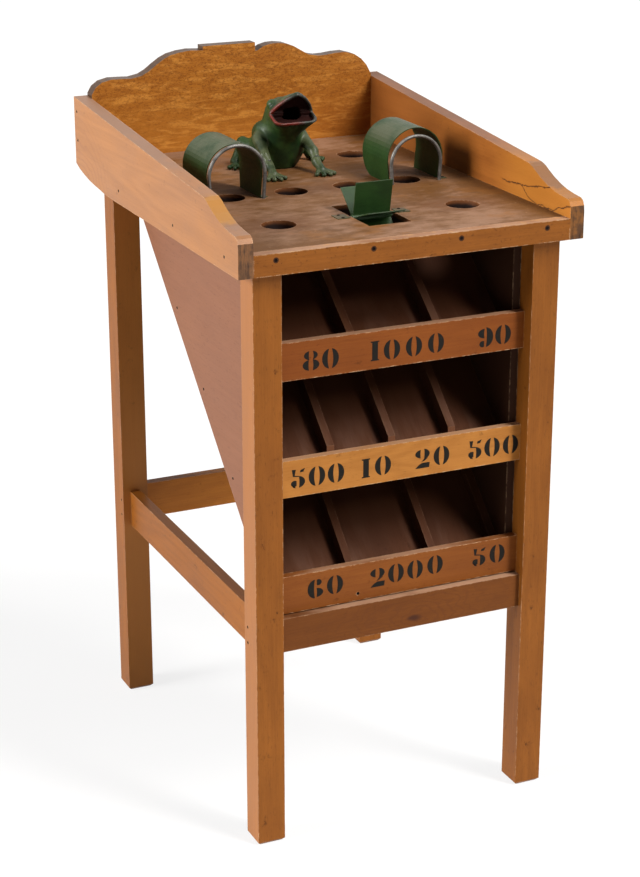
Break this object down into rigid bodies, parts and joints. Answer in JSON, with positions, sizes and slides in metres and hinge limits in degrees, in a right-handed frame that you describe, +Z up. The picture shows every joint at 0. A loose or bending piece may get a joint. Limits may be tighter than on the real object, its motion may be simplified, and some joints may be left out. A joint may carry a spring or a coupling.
{
  "type": "frog toss game",
  "caption": "Wooden stand with a tray table of holes, arches, a turning paddle wheel and an open-mouthed frog, over sloping floors that end at numbered boards.",
  "frame": {"origin": "bottom centre of the bounding box: on the floor, midway between the side rails and midway between the front and back ends of the rails", "axes": "+Z up, +X to the right as a player sees the front, +Y towards the back board"},
  "size_m": [0.5, 0.63, 1.0075],
  "materials": {
    "frame_wood": "worn orange-brown varnish",
    "table_wood": "bare, worn grey-brown",
    "inner_wood": "dull dark brown",
    "cast_paint": "dark green paint over cast iron, worn",
    "sheet_paint": "green paint over steel sheet, worn to grey",
    "bare_steel": "dull grey wire and dark nail heads"
  },
  "bodies": {
    "stand": {"leg_front_left": "frame_wood", "leg_front_right": "frame_wood", "leg_back_left": "frame_wood", "leg_back_right": "frame_wood", "side_rail_left": "frame_wood", "side_rail_right": "frame_wood", "table_board": "table_wood", "front_strip": "frame_wood", "back_board": "frame_wood", "front_apron": "frame_wood", "side_stretcher_left": "frame_wood", "side_stretcher_right": "frame_wood", "back_stretcher": "frame_wood", "side_panel_left": "inner_wood", "side_panel_right": "inner_wood", "chute_top": "inner_wood", "chute_middle": "inner_wood", "chute_bottom": "inner_wood", "score_board_top": "frame_wood", "score_board_middle": "frame_wood", "score_board_bottom": "frame_wood", "divider_top_left": "inner_wood", "divider_top_right": "inner_wood", "divider_middle_left": "inner_wood", "divider_middle_centre": "inner_wood", "divider_middle_right": "inner_wood", "divider_bottom_left": "inner_wood", "divider_bottom_right": "inner_wood", "cleat_top_left": "inner_wood", "cleat_top_right": "inner_wood", "cleat_middle_left": "inner_wood", "cleat_middle_right": "inner_wood", "cleat_bottom_left": "inner_wood", "cleat_bottom_right": "inner_wood", "frog": "cast_paint", "frog_legs": "cast_paint", "frog_screws": "bare_steel", "arch_left": "sheet_paint", "arch_right": "sheet_paint", "hoop_left": "bare_steel", "hoop_right": "bare_steel", "axle_strap_left": "sheet_paint", "axle_strap_right": "sheet_paint", "nails": "bare_steel", "tacks": "bare_steel"},
    "mill": {"mill_wheel": "sheet_paint", "mill_axle": "bare_steel"}
  },
  "joints": [
    {"name": "mill_spin", "type": "hinge", "parent": "stand", "child": "mill", "pos_m": [0, -0.179, 0.8476], "axis": [1, 0, 0], "continuous": true}
  ]
}
